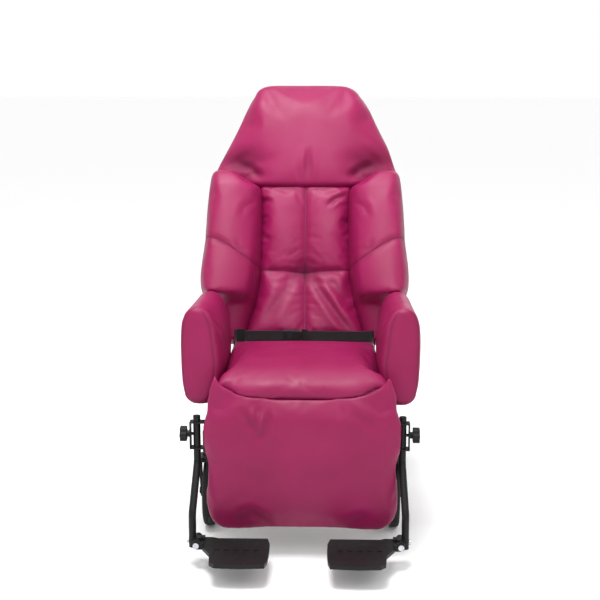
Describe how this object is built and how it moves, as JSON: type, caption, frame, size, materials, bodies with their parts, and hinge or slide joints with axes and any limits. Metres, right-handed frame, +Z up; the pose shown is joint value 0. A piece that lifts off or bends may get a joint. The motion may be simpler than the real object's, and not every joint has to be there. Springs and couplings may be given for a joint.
{
  "type": "patient recliner chair",
  "caption": "Padded tilting and reclining patient chair on swivel castors, with armrests, side bolsters, lap belt, lifting legrest and folding footplates.",
  "frame": {"origin": "on the floor under the middle of the chair's bounding box", "axes": "+X towards the occupant's left, +Y from the footrests to the back, +Z up"},
  "size_m": [0.652, 1.1569, 1.2507],
  "materials": {
    "vinyl": "soft coated upholstery fabric with a fine grain and a satin sheen",
    "shell_plastic": "matt textured black",
    "frame_paint": "black powder coat",
    "zinc_steel": "bright zinc plate",
    "black_plastic": "moulded, fine spark texture",
    "buckle_button": "gloss",
    "spring_paint": "black gloss paint",
    "hub_plastic": "moulded dark grey",
    "tyre_rubber": "solid dark grey rubber",
    "grip_foam": "closed foam",
    "plywood": "birch plywood, sealed",
    "webbing": "woven black webbing"
  },
  "bodies": {
    "base": {"base_frame": "frame_paint", "tilt_axle": "zinc_steel"},
    "seat": {"seat_frame": "frame_paint", "seat_board": "plywood", "seat_cushion": "vinyl", "armrest_left": "vinyl", "armrest_right": "vinyl", "recline_axle": "zinc_steel", "legrest_axle": "zinc_steel", "belt_webbing_left": "webbing", "belt_webbing_right": "webbing", "buckle_housing": "black_plastic", "buckle_tongue": "zinc_steel", "belt_adjuster": "black_plastic", "belt_anchors": "zinc_steel"},
    "buckle_button": {"buckle_button": "buckle_button"},
    "back": {"back_frame": "frame_paint", "back_board": "plywood", "back_cushion": "vinyl", "headrest_cushion": "vinyl", "bolster_left": "vinyl", "bolster_right": "vinyl", "rear_cover": "shell_plastic", "push_handle": "frame_paint", "handle_grip": "grip_foam", "lever_clamps": "black_plastic"},
    "tilt_lever": {"tilt_lever": "black_plastic"},
    "recline_lever": {"recline_lever": "black_plastic"},
    "legrest": {"legrest_frame": "frame_paint", "legrest_shell": "shell_plastic", "legrest_pad": "vinyl", "hanger_brackets": "frame_paint"},
    "tilt_cylinder": {"tilt_spring_cylinder": "spring_paint"},
    "tilt_rod": {"tilt_spring_rod": "zinc_steel"},
    "recline_cylinder": {"recline_spring_cylinder": "spring_paint"},
    "recline_rod": {"recline_spring_rod": "zinc_steel"},
    "castor_front_left": {"castor_front_left_fork": "frame_paint"},
    "wheel_front_left": {"castor_front_left_hub": "hub_plastic", "castor_front_left_tyre": "tyre_rubber"},
    "castor_rear_left": {"castor_rear_left_fork": "frame_paint"},
    "wheel_rear_left": {"castor_rear_left_hub": "hub_plastic", "castor_rear_left_tyre": "tyre_rubber"},
    "brake_left": {"castor_rear_left_brake_pedal": "black_plastic"},
    "hanger_left": {"hanger_left": "frame_paint", "hanger_cap_left": "black_plastic", "hanger_bolts_left": "zinc_steel"},
    "footplate_left": {"footplate_left": "black_plastic"},
    "clamp_knob_left": {"clamp_knob_left": "black_plastic"},
    "castor_front_right": {"castor_front_right_fork": "frame_paint"},
    "wheel_front_right": {"castor_front_right_hub": "hub_plastic", "castor_front_right_tyre": "tyre_rubber"},
    "castor_rear_right": {"castor_rear_right_fork": "frame_paint"},
    "wheel_rear_right": {"castor_rear_right_hub": "hub_plastic", "castor_rear_right_tyre": "tyre_rubber"},
    "brake_right": {"castor_rear_right_brake_pedal": "black_plastic"},
    "hanger_right": {"hanger_right": "frame_paint", "hanger_cap_right": "black_plastic", "hanger_bolts_right": "zinc_steel"},
    "footplate_right": {"footplate_right": "black_plastic"},
    "clamp_knob_right": {"clamp_knob_right": "black_plastic"}
  },
  "joints": [
    {"name": "seat_tilt", "type": "hinge", "parent": "base", "child": "seat", "pos_m": [0, -0.04286, 0.36], "axis": [-1, 0, 0], "range_deg": [0, 20]},
    {"name": "back_recline", "type": "hinge", "parent": "seat", "child": "back", "pos_m": [0, 0.22714, 0.43], "axis": [-1, 0, 0], "range_deg": [0, 30]},
    {"name": "legrest_lift", "type": "hinge", "parent": "seat", "child": "legrest", "pos_m": [0, -0.32786, 0.392], "axis": [-1, 0, 0], "range_deg": [0, 70]},
    {"name": "buckle_press", "type": "slide", "parent": "seat", "child": "buckle_button", "axis": [0, 1, 0], "range_m": [0, 0.003], "stiffness_N_per_m": 300},
    {"name": "tilt_spring_swing", "type": "hinge", "parent": "base", "child": "tilt_cylinder", "pos_m": [0, -0.09286, 0.322], "axis": [-1, 0, 0], "range_deg": [0, 24.22]},
    {"name": "tilt_spring_stroke", "type": "slide", "parent": "tilt_cylinder", "child": "tilt_rod", "axis": [0, -0.9718, 0.236], "range_m": [0, 0.0199]},
    {"name": "recline_spring_swing", "type": "hinge", "parent": "seat", "child": "recline_cylinder", "pos_m": [0, 0.00714, 0.344], "axis": [-1, 0, 0], "range_deg": [-3.96, 0]},
    {"name": "recline_spring_stroke", "type": "slide", "parent": "recline_cylinder", "child": "recline_rod", "axis": [0, 0.997, 0.0769], "range_m": [-0.034, 0]},
    {"name": "tilt_lever_squeeze", "type": "hinge", "parent": "back", "child": "tilt_lever", "pos_m": [0.112, 0.53364, 1.05992], "axis": [0, -0.2756, -0.9613], "range_deg": [0, 12], "stiffness_Nm_per_rad": 0.8},
    {"name": "recline_lever_squeeze", "type": "hinge", "parent": "back", "child": "recline_lever", "pos_m": [-0.112, 0.53364, 1.05992], "axis": [0, 0.2756, 0.9613], "range_deg": [0, 12], "stiffness_Nm_per_rad": 0.8},
    {"name": "castor_front_left_swivel", "type": "hinge", "parent": "base", "child": "castor_front_left", "pos_m": [0.266, -0.15486, 0.24], "axis": [0, 0, 1], "continuous": true},
    {"name": "wheel_front_left_roll", "type": "hinge", "parent": "castor_front_left", "child": "wheel_front_left", "pos_m": [0.266, -0.11486, 0.1], "axis": [1, 0, 0], "continuous": true},
    {"name": "castor_rear_left_swivel", "type": "hinge", "parent": "base", "child": "castor_rear_left", "pos_m": [0.266, 0.40714, 0.24], "axis": [0, 0, 1], "continuous": true},
    {"name": "wheel_rear_left_roll", "type": "hinge", "parent": "castor_rear_left", "child": "wheel_rear_left", "pos_m": [0.266, 0.44714, 0.1], "axis": [1, 0, 0], "continuous": true},
    {"name": "brake_left_press", "type": "hinge", "parent": "castor_rear_left", "child": "brake_left", "pos_m": [0.266, 0.45314, 0.22], "axis": [-1, 0, 0], "range_deg": [0, 12]},
    {"name": "hanger_left_height", "type": "slide", "parent": "legrest", "child": "hanger_left", "axis": [0, 0, 1], "range_m": [0, 0.03]},
    {"name": "footplate_left_fold", "type": "hinge", "parent": "hanger_left", "child": "footplate_left", "pos_m": [0.272, -0.42286, 0.07], "axis": [0, 1, 0], "range_deg": [0, 90]},
    {"name": "clamp_knob_left_turn", "type": "hinge", "parent": "legrest", "child": "clamp_knob_left", "pos_m": [0.31, -0.33286, 0.341], "axis": [1, 0, 0], "range_deg": [0, 360]},
    {"name": "castor_front_right_swivel", "type": "hinge", "parent": "base", "child": "castor_front_right", "pos_m": [-0.266, -0.15486, 0.24], "axis": [0, 0, 1], "continuous": true},
    {"name": "wheel_front_right_roll", "type": "hinge", "parent": "castor_front_right", "child": "wheel_front_right", "pos_m": [-0.266, -0.11486, 0.1], "axis": [1, 0, 0], "continuous": true},
    {"name": "castor_rear_right_swivel", "type": "hinge", "parent": "base", "child": "castor_rear_right", "pos_m": [-0.266, 0.40714, 0.24], "axis": [0, 0, 1], "continuous": true},
    {"name": "wheel_rear_right_roll", "type": "hinge", "parent": "castor_rear_right", "child": "wheel_rear_right", "pos_m": [-0.266, 0.44714, 0.1], "axis": [1, 0, 0], "continuous": true},
    {"name": "brake_right_press", "type": "hinge", "parent": "castor_rear_right", "child": "brake_right", "pos_m": [-0.266, 0.45314, 0.22], "axis": [-1, 0, 0], "range_deg": [0, 12]},
    {"name": "hanger_right_height", "type": "slide", "parent": "legrest", "child": "hanger_right", "axis": [0, 0, 1], "range_m": [0, 0.03]},
    {"name": "footplate_right_fold", "type": "hinge", "parent": "hanger_right", "child": "footplate_right", "pos_m": [-0.272, -0.42286, 0.07], "axis": [0, -1, 0], "range_deg": [0, 90]},
    {"name": "clamp_knob_right_turn", "type": "hinge", "parent": "legrest", "child": "clamp_knob_right", "pos_m": [-0.31, -0.33286, 0.341], "axis": [-1, 0, 0], "range_deg": [0, 360]}
  ],
  "couplings": [
    {"joint": "tilt_spring_swing", "follows": "seat_tilt", "ratio": 1.1861},
    {"joint": "tilt_spring_stroke", "follows": "seat_tilt", "m_per_rad": 0.055576},
    {"joint": "recline_spring_swing", "follows": "back_recline", "ratio": -0.11533},
    {"joint": "recline_spring_stroke", "follows": "back_recline", "m_per_rad": -0.063981}
  ]
}
